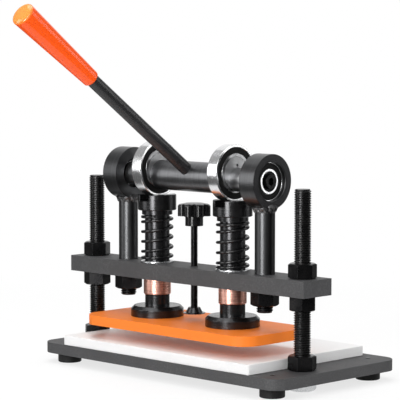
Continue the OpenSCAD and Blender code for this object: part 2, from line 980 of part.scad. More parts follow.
module pressing_plate() {
    color("#f26b1f")
        difference() {
            translate([0, 0, plate_z])
                rounded_plate(plate_l, plate_d, plate_t, plate_r);
            for (s = SIDES)
                at_plate_screws(s) {
                    translate([0, 0, plate_z - 1])
                        cylinder(h = plate_t + 2, r = screw_d / 2 + seat_fit);
                    translate([0, 0, plate_z])
                        cylinder(
                            h = countersink,
                            r1 = screw_head_d / 2 + seat_fit,
                            r2 = screw_d / 2 + seat_fit
                        );
                }
        }
}

module plate_screws() {
    color("#b9babb")
        for (s = SIDES)
            at_plate_screws(s) {
                translate([0, 0, plate_z])
                    cylinder(h = countersink, d1 = screw_head_d, d2 = screw_d);
                translate([0, 0, plate_z + countersink / 2])
                    cylinder(h = plate_t - countersink / 2 + screw_bite, d = screw_d);
            }
}

// Star knob: lobes under a low crown, on a hub that holds the screw
module star_knob() {
    lobe_r = (knob_d - lobe_d) / 2;
    color("#151516")
        difference() {
            union() {
                translate([0, 0, hub_z])
                    cylinder(h = hub_h + 1, d = hub_d);
                intersection() {
                    translate([0, 0, lobe_z])
                        union() {
                            cylinder(h = lobe_h + crown, r = lobe_r);
                            for (i = [0:lobes - 1])
                                rotate([0, 0, knob_turn + 360 * (i + 0.5) / lobes])
                                    translate([lobe_r, 0, 0])
                                        cylinder(h = lobe_h + crown, d = lobe_d);
                        }
                    translate([0, 0, lobe_z])
                        rotate_extrude()
                            polygon([
                                [0, 0], [knob_d / 2 + 1, 0], [knob_d / 2 + 1, lobe_h - knob_edge - 1],
                                [knob_d / 2 - knob_edge, lobe_h],
                                [knob_d / 4, lobe_h + crown], [0, lobe_h + crown]
                            ]);
                }
            }
            translate([0, 0, hub_z - 1])
                cylinder(h = knob_seat + 1, r = stop_d / 2 + seat_fit);
        }
}

module stop_screw() {
    color("#1f1f20")
        translate([0, 0, stop_z])
            cylinder(h = stop_top - stop_z, d = stop_d);
}

// Swivel pad: a flared foot that the screw turns in
module stop_pad() {
    inner = stop_d / 2 + run_fit;
    collar = inner + pad_wall;
    color("#222223")
        translate([0, 0, pad_z])
            rotate_extrude()
                polygon([
                    [0, 0], [pad_d / 2, 0], [pad_d / 2, pad_rim],
                    [pad_d / 2 - pad_step, pad_rim], [collar, pad_h],
                    [inner, pad_h], [inner, pad_floor], [0, pad_floor]
                ]);
}

base_plate();
rubber_feet();
foot_screws();
cutting_board();
column(LEFT);  // left_column
column(RIGHT);  // right_column
column_base_nuts();
column_lock_nuts();
beam_lower_nuts();
beam_upper_nuts();
crossbeam();
guide_bush(LEFT);  // left_bush
guide_bush(RIGHT);  // right_bush
bearing_post(LEFT);  // left_post
bearing_post(RIGHT);  // right_post
post_nuts();
end_outer_ring(LEFT);  // left_end_outer_ring
end_inner_ring(LEFT);  // left_end_inner_ring
end_balls(LEFT);  // left_end_balls
end_seals(LEFT);  // left_end_seals
end_outer_ring(RIGHT);  // right_end_outer_ring
end_inner_ring(RIGHT);  // right_end_inner_ring
end_balls(RIGHT);  // right_end_balls
end_seals(RIGHT);  // right_end_seals
cam_outer_ring(LEFT);  // left_cam_outer_ring
cam_inner_ring(LEFT);  // left_cam_inner_ring
cam_balls(LEFT);  // left_cam_balls
cam_seals(LEFT);  // left_cam_seals
cam_outer_ring(RIGHT);  // right_cam_outer_ring
cam_inner_ring(RIGHT);  // right_cam_inner_ring
cam_balls(RIGHT);  // right_cam_balls
cam_seals(RIGHT);  // right_cam_seals
eccentric_shaft();
shaft_spacers();
shaft_end_screws();
lever_bar();
lever_grip();
ram(LEFT);  // left_ram
ram(RIGHT);  // right_ram
ram_cap(LEFT);  // left_ram_cap
ram_cap(RIGHT);  // right_ram_cap
cap_screws();
return_spring(LEFT);  // left_spring
return_spring(RIGHT);  // right_spring
spring_washers();
pressing_plate();
plate_screws();
star_knob();
stop_screw();
stop_pad();
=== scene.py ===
"""Looks of the hand-lever die cutting machine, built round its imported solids, in metres."""
import json
import math
from collections import Counter

import bpy
from mathutils import Matrix, Vector

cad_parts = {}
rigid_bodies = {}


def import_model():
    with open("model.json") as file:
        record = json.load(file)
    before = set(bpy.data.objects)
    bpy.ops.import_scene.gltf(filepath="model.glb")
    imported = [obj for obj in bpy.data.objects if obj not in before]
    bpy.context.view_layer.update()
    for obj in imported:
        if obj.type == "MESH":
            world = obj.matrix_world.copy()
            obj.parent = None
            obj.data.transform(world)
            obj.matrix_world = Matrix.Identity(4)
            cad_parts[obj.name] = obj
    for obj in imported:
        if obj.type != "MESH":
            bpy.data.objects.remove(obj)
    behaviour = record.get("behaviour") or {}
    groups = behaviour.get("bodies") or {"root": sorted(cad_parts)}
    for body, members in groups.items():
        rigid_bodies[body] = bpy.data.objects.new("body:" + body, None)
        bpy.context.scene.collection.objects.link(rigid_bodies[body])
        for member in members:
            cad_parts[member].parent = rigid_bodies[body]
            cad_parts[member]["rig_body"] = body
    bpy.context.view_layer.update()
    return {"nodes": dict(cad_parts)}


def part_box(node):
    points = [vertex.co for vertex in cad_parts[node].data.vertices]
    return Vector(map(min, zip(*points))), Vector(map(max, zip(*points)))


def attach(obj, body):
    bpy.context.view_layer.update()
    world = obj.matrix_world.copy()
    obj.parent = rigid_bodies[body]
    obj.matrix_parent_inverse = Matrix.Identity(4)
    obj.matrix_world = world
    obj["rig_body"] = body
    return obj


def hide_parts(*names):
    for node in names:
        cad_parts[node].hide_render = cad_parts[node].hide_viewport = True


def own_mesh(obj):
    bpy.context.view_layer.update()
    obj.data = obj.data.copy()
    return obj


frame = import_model()
nodes = frame["nodes"]

# Studio: a white sweep lit by soft boxes, as for a catalogue picture.
# The camera stands well off the corner at +X and -Y, on the lever's side, a little above the beam.
scene = bpy.context.scene
scene.view_settings.view_transform = "Standard"
CAMERA_AT = Vector((1.465, -1.453, 0.3565))
CAMERA_LOOK = Vector((-0.7056, 0.7042, -0.0785))
bpy.ops.object.camera_add(
    location=CAMERA_AT, rotation=CAMERA_LOOK.to_track_quat("-Z", "Y").to_euler()
)
scene.camera = bpy.context.object
scene.camera.data.sensor_width = 36
scene.camera.data.lens = 168
MIDDLE = Vector((0, 0, 0.18))


def soft_box(name, at, width, height, watts):
    """A rectangular lamp that faces the middle of the machine."""
    bpy.ops.object.light_add(type="AREA", location=at)
    lamp = bpy.context.object
    lamp.name = name
    lamp.data.shape = "RECTANGLE"
    lamp.data.size = width
    lamp.data.size_y = height
    lamp.data.energy = watts
    lamp.visible_camera = False
    lamp.rotation_euler = (MIDDLE - Vector(at)).to_track_quat("-Z", "Y").to_euler()
    return lamp


soft_box("key_box", (0.85, -1.3, 0.9), width=0.88, height=1.26, watts=15)
soft_box("left_box", (-0.98, -1.45, 0.65), width=0.8, height=1.3, watts=13).visible_diffuse = False
soft_box("fill_box", (-1.3, -1.0, 0.8), width=0.9, height=0.9, watts=3.2).visible_glossy = False
soft_box("rim_box_near", (1.15, 1.12, 0.6), width=0.16, height=1.2, watts=1.8)
soft_box("rim_box_far", (0.85, 1.3, 0.6), width=0.16, height=1.2, watts=1.8)
soft_box("top_box", (-0.3, 0.1, 1.7), width=1.5, height=1.1, watts=18)
soft_box("side_box", (1.7, 0.3, 0.7), width=0.8, height=0.8, watts=3).visible_glossy = False
soft_box("strip_box", (0.3, -1.06, 0.32), width=0.36, height=0.6, watts=12).visible_diffuse = False


def feed(tree, sockets, values):
    """Sets each socket to its value, or links it where the value is a socket."""
    for socket, value in zip(sockets, values):
        if isinstance(value, bpy.types.NodeSocket):
            tree.links.new(value, socket)
        else:
            socket.default_value = value


def node_in(tree, kind, **inputs):
    """A new node with these inputs."""
    node = tree.nodes.new("ShaderNode" + kind)
    feed(tree, [node.inputs[name.replace("_", " ")] for name in inputs], inputs.values())
    return node


def math_in(tree, operation, *values):
    """A Math node's result."""
    node = tree.nodes.new("ShaderNodeMath")
    node.operation = operation
    feed(tree, node.inputs, values)
    return node.outputs["Value"]


def vector_in(tree, operation, *values):
    """A Vector Math node's results: a vector, or a value where the operation gives one."""
    node = tree.nodes.new("ShaderNodeVectorMath")
    node.operation = operation
    feed(tree, node.inputs, values)
    return node.outputs


def seen_straight(tree):
    """1 for what the camera, a mirror or glass shows, 0 for what lights the machine."""
    path = node_in(tree, "LightPath")
    seen = math_in(tree, "MAXIMUM", path.outputs["Is Camera Ray"], path.outputs["Is Glossy Ray"])
    return math_in(tree, "MAXIMUM", seen, path.outputs["Is Transmission Ray"])


world = bpy.data.worlds.new("white_room")
scene.world = world
world.use_nodes = True
sky = world.node_tree.nodes["Background"]
sky.inputs["Color"].default_value = (1, 1, 1, 1)
ROOM_LIGHT = 0.38
world.node_tree.links.new(
    node_in(
        world.node_tree, "MapRange", Value=seen_straight(world.node_tree), To_Min=ROOM_LIGHT, To_Max=1.0
    ).outputs["Result"],
    sky.inputs["Strength"],
)

FLOOR_SIZE = 12
FLOOR_Z = -0.0002
bpy.ops.mesh.primitive_plane_add(size=FLOOR_SIZE, location=(0, 0, FLOOR_Z))
floor = bpy.context.object
floor.name = "floor"
paper = bpy.data.materials.new("white_paper")
paper.use_nodes = True
tree = paper.node_tree
paper_shader = tree.nodes["Principled BSDF"]
paper_shader.inputs["Base Color"].default_value = (0.92, 0.92, 0.92, 1)
paper_shader.inputs["Roughness"].default_value = 0.9
glow = node_in(tree, "Emission", Color=(1, 1, 1, 1), Strength=1.0)
away = vector_in(tree, "LENGTH", node_in(tree, "TexCoord").outputs["Object"])["Value"]
SHADE_R = 0.25
WHITE_R = 0.9
NEAR_GLOW = 0.75
fade = node_in(tree, "MapRange", Value=away, From_Min=SHADE_R, From_Max=WHITE_R, To_Min=NEAR_GLOW)
blend = node_in(tree, "MixShader")
tree.links.new(math_in(tree, "MULTIPLY", seen_straight(tree), fade.outputs["Result"]), blend.inputs[0])
tree.links.new(paper_shader.outputs["BSDF"], blend.inputs[1])
tree.links.new(glow.outputs["Emission"], blend.inputs[2])
tree.links.new(blend.outputs["Shader"], tree.nodes["Material Output"].inputs["Surface"])
floor.data.materials.append(paper)

# Dark cloth: hung round the set and laid on the floor, open behind the machine.
# Only polished surfaces show it. It darkens what they reflect and nothing else.
CLOTH_SIDES = 48
CLOTH_R = 2.6
CLOTH_HEIGHT = 3.0
CLEAR_R = 0.3
OPEN_HALF = 32
bpy.ops.object.select_all(action="DESELECT")
bpy.ops.mesh.primitive_cylinder_add(
    vertices=CLOTH_SIDES, radius=CLOTH_R, depth=CLOTH_HEIGHT, location=(0, 0, CLOTH_HEIGHT / 2)
)
cloth = bpy.context.object
cloth.name = "dark_cloth"
away_from_camera = math.atan2(CAMERA_LOOK.y, CAMERA_LOOK.x)
bpy.ops.object.mode_set(mode="EDIT")
bpy.ops.mesh.select_mode(type="FACE")
bpy.ops.object.mode_set(mode="OBJECT")
for side in cloth.data.polygons:
    side.select = side.normal.z < -0.5
bpy.ops.object.mode_set(mode="EDIT")
bpy.ops.mesh.inset(thickness=CLOTH_R - CLEAR_R)
bpy.ops.object.mode_set(mode="OBJECT")
for side in cloth.data.polygons:
    bearing = math.atan2(side.center.y, side.center.x) - away_from_camera
    bearing = math.degrees(math.remainder(bearing, 2 * math.pi))
    clear = side.normal.z < -0.5 and side.center.to_2d().length < CLEAR_R
    side.select = clear or (side.normal.z < 0.5 and abs(bearing) < OPEN_HALF)
bpy.ops.object.mode_set(mode="EDIT")
bpy.ops.mesh.delete(type="FACE")
bpy.ops.object.mode_set(mode="OBJECT")
felt = bpy.data.materials.new("dark_felt")
felt.use_nodes = True
tree = felt.node_tree
height = node_in(tree, "SeparateXYZ", Vector=node_in(tree, "TexCoord").outputs["Object"]).outputs["Z"]
# The cloth glows by itself rather than being lit: painted light, brighter towards the top.
painted_light_above = node_in(tree, "MapRange", Value=height, From_Min=-0.9, From_Max=0.9, To_Min=0.12, To_Max=0.4)
dim = node_in(tree, "Emission", Color=(1, 1, 1, 1), Strength=painted_light_above.outputs["Result"])
tree.links.new(dim.outputs["Emission"], tree.nodes["Material Output"].inputs["Surface"])
cloth.data.materials.append(felt)
cloth.visible_camera = False
cloth.visible_diffuse = False
cloth.visible_transmission = False
cloth.visible_shadow = False

# Base plate: a slab of mild steel, cut with round corners and coated in matte charcoal powder.
# Its edges are broken so that the coat holds on them. Columns and feet are bolted through it.
SAME_SPOT = 0.000001
EDGE_STEPS = 3


def work_on(piece):
    """Makes a piece the only one that operators act on."""
    bpy.ops.object.select_all(action="DESELECT")
    piece.select_set(True)
    bpy.context.view_layer.objects.active = piece


def smooth(piece, degrees=35):
    """Shades curves smooth and keeps edges sharp."""
    work_on(piece)
    bpy.ops.object.shade_smooth_by_angle(angle=math.radians(degrees))
    even = piece.modifiers.new("even_shading", "WEIGHTED_NORMAL")
    even.keep_sharp = True
    bpy.ops.object.modifier_apply(modifier=even.name)


def stands_for(piece, node, material):
    """A finished piece takes the place of a CAD node, on its body and with its slot."""
    piece.data.materials.clear()
    piece.data.materials.append(material)
    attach(piece, nodes[node]["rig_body"])
    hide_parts(node)


def merged_copy(node):
    """A copy of a CAD node's mesh with its loose triangles joined up."""
    piece = bpy.data.objects.new(node + "_finished", nodes[node].data.copy())
    scene.collection.objects.link(piece)
    work_on(piece)
    bpy.ops.mesh.customdata_custom_splitnormals_clear()
    bpy.ops.object.mode_set(mode="EDIT")
    bpy.ops.mesh.select_all(action="SELECT")
    bpy.ops.mesh.remove_doubles(threshold=SAME_SPOT)
    bpy.ops.mesh.dissolve_limited(angle_limit=math.radians(0.6))
    bpy.ops.object.mode_set(mode="OBJECT")
    return piece


def break_edges(piece, width):
    """Rounds the sharp edges of a piece."""
    work_on(piece)
    bevel = piece.modifiers.new("broken_edges", "BEVEL")
    bevel.width = width
    bevel.segments = EDGE_STEPS
    bevel.limit_method = "ANGLE"
    bevel.angle_limit = math.radians(40)
    bpy.ops.object.modifier_apply(modifier=bevel.name)
    bpy.ops.object.mode_set(mode="EDIT")
    bpy.ops.mesh.select_all(action="SELECT")
    bpy.ops.mesh.remove_doubles(threshold=SAME_SPOT)
    bpy.ops.object.mode_set(mode="OBJECT")
    smooth(piece)


def edge_broken(node, material, width):
    """A CAD node with its sharp edges rounded."""
    piece = merged_copy(node)
    break_edges(piece, width)
    stands_for(piece, node, material)


def dress(node, material):
    """A CAD node keeps its mesh and gets its finish."""
    for slot in nodes[node].material_slots:
        slot.material = material


def start_group(name, *values):
    """A surface effect: a node group with these inputs, which puts out colour, roughness and height."""
    group = bpy.data.node_groups.new(name, "ShaderNodeTree")
    group.interface.new_socket(name="Vector", in_out="INPUT", socket_type="NodeSocketVector")
    for value in values:
        kind = "NodeSocketColor" if value in ("Base", "Fleck") else "NodeSocketFloat"
        group.interface.new_socket(name=value, in_out="INPUT", socket_type=kind)
    for result, kind in (("Colour", "Color"), ("Roughness", "Float"), ("Height", "Float")):
        group.interface.new_socket(name=result, in_out="OUTPUT", socket_type="NodeSocket" + kind)
    return group, group.nodes.new("NodeGroupInput").outputs, group.nodes.new("NodeGroupOutput").inputs


def mix_in(tree, share, first, second):
    """A colour mixed from two."""
    node = tree.nodes.new("ShaderNodeMix")
    node.data_type = "RGBA"
    feed(tree, (node.inputs[0], node.inputs[6], node.inputs[7]), (share, first, second))
    return node.outputs[2]


# The grain of a powder coat, rubber or cast skin: fine dimples, with flecks and dull patches
grain, have, give = start_group("grain", "Grain", "Patch", "Base", "Fleck", "Smooth", "Rough")
fine = node_in(grain, "TexNoise", Vector=have["Vector"], Scale=have["Grain"], Detail=3.0)
broad = node_in(grain, "TexNoise", Vector=have["Vector"], Scale=have["Patch"], Detail=4.0, Roughness=0.6)
specks = node_in(grain, "MapRange", Value=fine.outputs["Fac"], From_Min=0.45, From_Max=0.75)
drift = node_in(grain, "MapRange", Value=broad.outputs["Fac"], From_Min=0.35, From_Max=0.7)
flecks = math_in(grain, "MULTIPLY", specks.outputs["Result"], drift.outputs["Result"])
grain.links.new(mix_in(grain, flecks, have["Base"], have["Fleck"]), give["Colour"])
dull = node_in(
    grain, "MapRange", Value=broad.outputs["Fac"], From_Min=0.3, From_Max=0.7,
    To_Min=have["Smooth"], To_Max=have["Rough"],
)
grain.links.new(dull.outputs["Result"], give["Roughness"])
grain.links.new(fine.outputs["Fac"], give["Height"])


def start_material(name, **plain):
    """A new material with these plain sockets set: its shader and its Object coordinates."""
    material = bpy.data.materials.new(name)
    material.use_nodes = True
    shader = material.node_tree.nodes["Principled BSDF"]
    for socket, value in plain.items():
        shader.inputs[socket.replace("_", " ")].default_value = value
    return material, shader, node_in(material.node_tree, "TexCoord").outputs["Object"]


def put_effect(material, shader, group, vector, depth, **values):
    """Gives a material its colour, roughness and relief from one effect."""
    tree = material.node_tree
    effect = tree.nodes.new("ShaderNodeGroup")
    effect.node_tree = group
    tree.links.new(vector, effect.inputs["Vector"])
    for name, value in values.items():
        effect.inputs[name].default_value = value
    tree.links.new(effect.outputs["Colour"], shader.inputs["Base Color"])
    tree.links.new(effect.outputs["Roughness"], shader.inputs["Roughness"])
    bump = node_in(tree, "Bump", Distance=depth, Height=effect.outputs["Height"])
    tree.links.new(bump.outputs["Normal"], shader.inputs["Normal"])
    return effect


charcoal, shader, place = start_material("charcoal_powder_coat", Specular_IOR_Level=0.3)
put_effect(
    charcoal, shader, grain, place, depth=0.0001, Grain=800, Patch=35,
    Base=(0.053, 0.053, 0.055, 1), Fleck=(0.11, 0.11, 0.113, 1), Smooth=0.52, Rough=0.64,
)
edge_broken("base_plate", charcoal, width=0.0009)

# Feet: four turned rubber discs under the base, each held by a screw from below.
# The tips of the screws show on top of the base.
rubber, shader, place = start_material("black_rubber", Specular_IOR_Level=0.2)
put_effect(
    rubber, shader, grain, place, depth=0.0001, Grain=900, Patch=60,
    Base=(0.009, 0.009, 0.009, 1), Fleck=(0.02, 0.02, 0.021, 1), Smooth=0.55, Rough=0.75,
)
edge_broken("rubber_feet", rubber, width=0.0004)
black_oxide, shader, place = start_material("black_oxide", Metallic=0.9)
put_effect(
    black_oxide, shader, grain, place, depth=0.00004, Grain=700, Patch=90,
    Base=(0.016, 0.016, 0.017, 1), Fleck=(0.034, 0.03, 0.028, 1), Smooth=0.24, Rough=0.4,
)
dress("foot_screws", black_oxide)

# Columns: two lengths of rolled M18 threaded rod with a black oxide skin.
# They stand in the base between nuts and carry the crossbeam.
COARSE_PITCH = 0.0025
THREAD_STEPS = 36
ROD_CHAMFER = 0.0015
# A thread's outline as shares of its pitch: depth, then where the flanks and the crest begin and end
THREAD_DEPTH = 0.5
ROOT_END = 0.14
CREST_START = 0.42
CREST_END = 0.72
LEAD_IN = 1.6
SPARE_TURNS = 3
rolled_oxide, shader, place = start_material("rolled_oxide", Metallic=0.9)
put_effect(
    rolled_oxide, shader, grain, place, depth=0.00004, Grain=700, Patch=90,
    Base=(0.036, 0.036, 0.037, 1), Fleck=(0.06, 0.056, 0.052, 1), Smooth=0.22, Rough=0.36,
)


def profile_line(name, points):
    """An open line of (radius, height) points, to be turned about the Z axis."""
    bpy.ops.object.select_all(action="DESELECT")
    bpy.ops.mesh.primitive_circle_add(vertices=len(points), radius=0.01, fill_type="NOTHING")
    line = bpy.context.object
    line.name = name
    for corner, (radius, height) in zip(line.data.vertices, points):
        corner.co = (radius, 0, height)
    closing = {0, len(points) - 1}
    bpy.ops.object.mode_set(mode="EDIT")
    bpy.ops.mesh.select_mode(type="EDGE")
    bpy.ops.object.mode_set(mode="OBJECT")
    for edge in line.data.edges:
        edge.select = set(edge.vertices) == closing
    bpy.ops.object.mode_set(mode="EDIT")
    bpy.ops.mesh.delete(type="EDGE")
    bpy.ops.object.mode_set(mode="OBJECT")
    return line


def turn(line, steps, rise=0.0, turns=1):
    """Turns a line about the Z axis, rising by so much in each turn."""
    work_on(line)
    lathe = line.modifiers.new("turning", "SCREW")
    lathe.axis = "Z"
    lathe.screw_offset = rise
    lathe.iterations = turns
    lathe.steps = steps
    lathe.render_steps = steps
    lathe.use_merge_vertices = True
    lathe.merge_threshold = SAME_SPOT
    lathe.use_normal_calculate = True
    bpy.ops.object.modifier_apply(modifier=lathe.name)


def outward(piece):
    """Joins a piece's doubled corners and points its faces outwards."""
    work_on(piece)
    bpy.ops.object.mode_set(mode="EDIT")
    bpy.ops.mesh.select_all(action="SELECT")
    bpy.ops.mesh.remove_doubles(threshold=SAME_SPOT)
    bpy.ops.mesh.normals_make_consistent(inside=False)
    bpy.ops.object.mode_set(mode="OBJECT")


def cut_off(piece, height, keep_below):
    """Cuts a piece at a height and closes the cut."""
    work_on(piece)
    bpy.ops.object.mode_set(mode="EDIT")
    bpy.ops.mesh.select_all(action="SELECT")
    bpy.ops.mesh.bisect(
        plane_co=(0, 0, height), plane_no=(0, 0, 1), use_fill=True,
        clear_outer=keep_below, clear_inner=not keep_below,
    )
    bpy.ops.object.mode_set(mode="OBJECT")


def drop_hanging_faces(piece):
    """Deletes faces that hang on by one edge, which a cut near a corner can leave."""
    work_on(piece)
    bpy.ops.object.mode_set(mode="EDIT")
    bpy.ops.mesh.select_mode(type="FACE")
    bpy.ops.object.mode_set(mode="OBJECT")
    uses = Counter(edge for face in piece.data.polygons for edge in face.edge_keys)
    for face in piece.data.polygons:
        free = sum(uses[edge] == 1 for edge in face.edge_keys)
        face.select = free >= len(face.edge_keys) - 1
    bpy.ops.object.mode_set(mode="EDIT")
    bpy.ops.mesh.delete(type="FACE")
    bpy.ops.object.mode_set(mode="OBJECT")


def threaded_rod(name, x, low, high, diameter, pitch, chamfer):
    """A rod with a real helical thread, from low to high, with chamfered ends."""
    crest = diameter / 2
    root = crest - THREAD_DEPTH * pitch
    line = profile_line(
        name,
        [
            (root, 0), (root, pitch * ROOT_END), (crest, pitch * CREST_START),
            (crest, pitch * CREST_END), (root, pitch),
        ],
    )
    turn(line, THREAD_STEPS, pitch, math.ceil((high - low) / pitch) + SPARE_TURNS)
    outward(line)
    line.data.transform(Matrix.Translation((0, 0, low - LEAD_IN * pitch)))
    cut_off(line, low, keep_below=False)
    cut_off(line, high, keep_below=True)
    drop_hanging_faces(line)
    for corner in line.data.vertices:
        radius = math.hypot(corner.co.x, corner.co.y)
        limit = crest - chamfer + min(corner.co.z - low, high - corner.co.z)
        if radius > limit:
            corner.co.x *= limit / radius
            corner.co.y *= limit / radius
    line.data.transform(Matrix.Translation((x, 0, 0)))
    outward(line)
    smooth(line, degrees=25)
    return line


for side in ("left", "right"):
    low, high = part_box(side + "_column")
    rod = threaded_rod(
        side + "_column_thread", (low.x + high.x) / 2, low.z, high.z, high.x - low.x,
        COARSE_PITCH, ROD_CHAMFER,
    )
    stands_for(rod, side + "_column", rolled_oxide)

# Column nuts: hexagon nuts with a black oxide skin above the base, and thinner lock nuts below it
# that are bright zinc plated.
edge_broken("column_base_nuts", black_oxide, width=0.0006)
zinc, shader, place = start_material("zinc_plate", Metallic=1.0)
put_effect(
    zinc, shader, grain, place, depth=0.00003, Grain=600, Patch=120,
    Base=(0.62, 0.63, 0.64, 1), Fleck=(0.74, 0.75, 0.77, 1), Smooth=0.2, Rough=0.36,
)
edge_broken("column_lock_nuts", zinc, width=0.0003)

# Cutting board: a sawn sheet of white polyethylene that lies loose on the base.
# Its skin has a faint sheen, and its sawn edges are lightly broken.
board_white, shader, place = start_material("white_polyethylene", Specular_IOR_Level=0.12)
put_effect(
    board_white, shader, grain, place, depth=0.00005, Grain=420, Patch=14,
    Base=(0.87, 0.87, 0.87, 1), Fleck=(0.84, 0.84, 0.84, 1), Smooth=0.26, Rough=0.4,
)
edge_broken("cutting_board", board_white, width=0.0006)

# Crossbeam: a bar of mild steel, bored for columns, posts and rams, with the base's charcoal coat.
# It is held at its height by nuts above and below it on each column.
edge_broken("crossbeam", charcoal, width=0.0007)
edge_broken("beam_lower_nuts", black_oxide, width=0.0006)
edge_broken("beam_upper_nuts", black_oxide, width=0.0006)

# Guide bushes: turned tubes of copper alloy, pressed into the beam from below.
# The turning leaves fine rings that catch the light.
turned, have, give = start_group("turned", "Lines", "Patch", "Base", "Fleck", "Smooth", "Rough")
spot = node_in(turned, "SeparateXYZ", Vector=have["Vector"])
square = math_in(
    turned, "ADD",
    math_in(turned, "POWER", spot.outputs["X"], 2.0), math_in(turned, "POWER", spot.outputs["Y"], 2.0),
)
across = math_in(turned, "MULTIPLY", math_in(turned, "SQRT", square), have["Lines"])
along = math_in(turned, "MULTIPLY", spot.outputs["Z"], have["Lines"])
path = node_in(turned, "CombineXYZ", X=across, Y=along)
rings = node_in(turned, "TexNoise", Vector=path.outputs["Vector"], Scale=1.0, Detail=5.0, Roughness=0.7)
wear = node_in(turned, "TexNoise", Vector=have["Vector"], Scale=have["Patch"], Detail=3.0)
streaks = node_in(turned, "MapRange", Value=rings.outputs["Fac"], From_Min=0.4, From_Max=0.68)
turned.links.new(
    mix_in(turned, streaks.outputs["Result"], have["Base"], have["Fleck"]), give["Colour"]
)
both = math_in(
    turned, "ADD",
    math_in(turned, "MULTIPLY", rings.outputs["Fac"], 0.6),
    math_in(turned, "MULTIPLY", wear.outputs["Fac"], 0.4),
)
dull = node_in(
    turned, "MapRange", Value=both, From_Min=0.35, From_Max=0.65,
    To_Min=have["Smooth"], To_Max=have["Rough"],
)
turned.links.new(dull.outputs["Result"], give["Roughness"])
turned.links.new(rings.outputs["Fac"], give["Height"])


def turned_about(material, place, centre, quarter_turn=False, both_sides=False):
    """Coordinates for a piece turned about an upright axis, or one along X, through centre."""
    tree = material.node_tree
    if both_sides:
        place = vector_in(tree, "ABSOLUTE", place)["Vector"]
    tilt = (0, math.pi / 2 if quarter_turn else 0, 0)
    centred = node_in(tree, "Mapping", Vector=place, Location=centre, Rotation=tilt)
    centred.vector_type = "TEXTURE"
    return centred.outputs["Vector"]


low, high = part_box("right_ram")
RAM_AXIS = ((low.x + high.x) / 2, 0, 0)
copper, shader, place = start_material("turned_copper", Metallic=1.0)
put_effect(
    copper, shader, turned, turned_about(copper, place, RAM_AXIS, both_sides=True),
    depth=0.00006, Lines=2600, Patch=60, Base=(0.7, 0.33, 0.25, 1), Fleck=(0.96, 0.62, 0.53, 1),
    Smooth=0.22, Rough=0.38,
)
edge_broken("left_bush", copper, width=0.0004)
edge_broken("right_bush", copper, width=0.0004)

# Posts: a round bar with a turned eye welded on top and a threaded stud below, through the beam.
# The steel is left machined, with an oily dark satin skin, and the outer faces of the eyes are painted
# darker as painted shade.
# A nut under the beam holds each post.
post_steel, shader, place = start_material("machined_post", Metallic=1.0)
low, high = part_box("left_end_outer_ring")
SHAFT_AXIS = (0, 0, (low.z + high.z) / 2)
effect = put_effect(
    post_steel, shader, turned, turned_about(post_steel, place, SHAFT_AXIS, quarter_turn=True),
    depth=0.00003, Lines=1500, Patch=45, Base=(0.065, 0.066, 0.068, 1), Fleck=(0.1, 0.101, 0.104, 1),
    Smooth=0.29, Rough=0.38,
)
tree = post_steel.node_tree
sideways = math_in(tree, "ABSOLUTE", node_in(tree, "SeparateXYZ", Vector=place).outputs["X"])
EYE_WIDTH = 0.0215
FACE_SKIN = 0.0003
low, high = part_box("right_post")
face_at = (low.x + high.x + EYE_WIDTH) / 2
# Painted shade: the outer face of each eye gets a darker colour than the rest of the post.
shaded_eye_face = math_in(tree, "GREATER_THAN", sideways, face_at - FACE_SKIN)
painted_shade_face = mix_in(tree, shaded_eye_face, effect.outputs["Colour"], (0.036, 0.036, 0.0375, 1))
tree.links.new(painted_shade_face, shader.inputs["Base Color"])
weld_skin, shader, place = start_material("weld_bead", Metallic=1.0)
put_effect(
    weld_skin, shader, grain, place, depth=0.0002, Grain=500, Patch=160,
    Base=(0.13, 0.13, 0.133, 1), Fleck=(0.3, 0.298, 0.294, 1), Smooth=0.24, Rough=0.42,
)
POST_R = 0.011
POST_FOOT = 0.002
STUD_TOP = 0.004
STUD_D = 0.018
WELD_OUT = 0.003
WELD_DROP = 0.004
WELD_ROOT = 0.0015
WELD_SKIN = 0.0002
WELD_LUMP = 0.0006
WELD_LUMPS = 13
WELD_WAVES = 8
WAVE_SHARE = 0.6
WELD_ROWS = 12
WELD_STEPS = 156
beam_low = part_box("crossbeam")[0].z
for side in ("left", "right"):
    post = merged_copy(side + "_post")
    cut_off(post, beam_low + POST_FOOT, keep_below=False)
    break_edges(post, width=0.0005)
    stands_for(post, side + "_post", post_steel)
    low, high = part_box(side + "_post")
    post_x = (low.x + high.x) / 2
    eye_r = high.z - SHAFT_AXIS[2]
    stud = threaded_rod(
        side + "_stud_thread", post_x, low.z, beam_low + STUD_TOP, STUD_D, COARSE_PITCH, ROD_CHAMFER
    )
    stud.data.materials.append(black_oxide)
    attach(stud, "beam")
    weld_low = SHAFT_AXIS[2] - eye_r - WELD_DROP
    weld_wide = weld_low + 2 * WELD_OUT
    root = POST_R - WELD_ROOT
    outline = [(root, weld_low)]
    for i in range(WELD_ROWS + 1):
        share = i / WELD_ROWS
        outline.append((POST_R + WELD_OUT * share, weld_low + (weld_wide - weld_low) * share))
    outline.append((root, weld_wide + WELD_OUT + WELD_ROOT))
    outline.append(outline[0])
    weld = profile_line(side + "_weld", outline)
    turn(weld, WELD_STEPS)
    for corner in weld.data.vertices:
        radius = math.hypot(corner.co.x, corner.co.y)
        if radius > root + SAME_SPOT:
            angle = math.atan2(corner.co.y, corner.co.x)
            share = (corner.co.z - weld_low) / (weld_wide - weld_low)
            lump = math.sin(WELD_LUMPS * angle + 2 * math.sin(3 * angle) + 2.5 * share)
            lump += WAVE_SHARE * math.sin(WELD_WAVES * angle - 4.5 * share + 1)
            lump *= math.sin(math.pi * min(1, 0.15 + 0.75 * share))
            grown = 1 + (WELD_SKIN + WELD_LUMP * lump) / radius
            corner.co.x *= grown
            corner.co.y *= grown
    weld.data.transform(Matrix.Translation((post_x, 0, 0)))
    outward(weld)
    smooth(weld, degrees=60)
    weld.data.materials.append(weld_skin)
    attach(weld, "beam")
edge_broken("post_nuts", black_oxide, width=0.0006)

